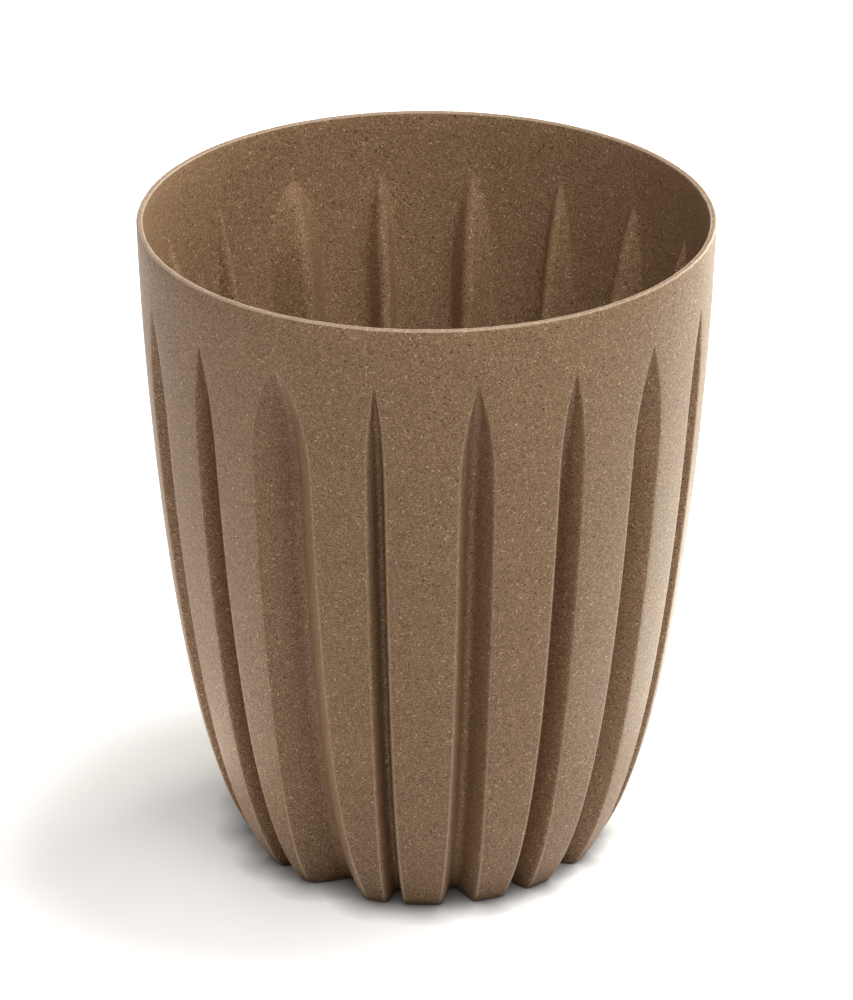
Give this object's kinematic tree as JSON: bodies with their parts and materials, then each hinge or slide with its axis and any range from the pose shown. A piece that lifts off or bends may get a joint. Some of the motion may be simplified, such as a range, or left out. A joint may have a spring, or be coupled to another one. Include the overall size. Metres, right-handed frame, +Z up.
{
  "type": "plant pot",
  "caption": "Tall round plastic plant pot with fluted sides, a lift-out drainage grid and a bung in its drain hole.",
  "frame": {"origin": "on the ground, under the middle of the pot's foot", "axes": "+Z up along the pot's axis, -Y towards the front that the picture shows, +X to its right"},
  "size_m": [0.24, 0.24, 0.286],
  "materials": {
    "wood_fibre_plastic": "matte, moulded, with fine light and dark fibres",
    "grid_plastic": "matte, moulded, dark brown",
    "bung_rubber": "matte black rubber"
  },
  "bodies": {
    "pot": {"pot_shell": "wood_fibre_plastic"},
    "grid": {"drainage_grid": "grid_plastic"},
    "bung": {"drain_bung": "bung_rubber"}
  },
  "joints": [
    {"name": "grid_lift", "type": "slide", "parent": "pot", "child": "grid", "axis": [0, 0, 1], "range_m": [0, 0.28]},
    {"name": "bung_pull", "type": "slide", "parent": "pot", "child": "bung", "axis": [0, 0, 1], "range_m": [0, 0.28]}
  ]
}
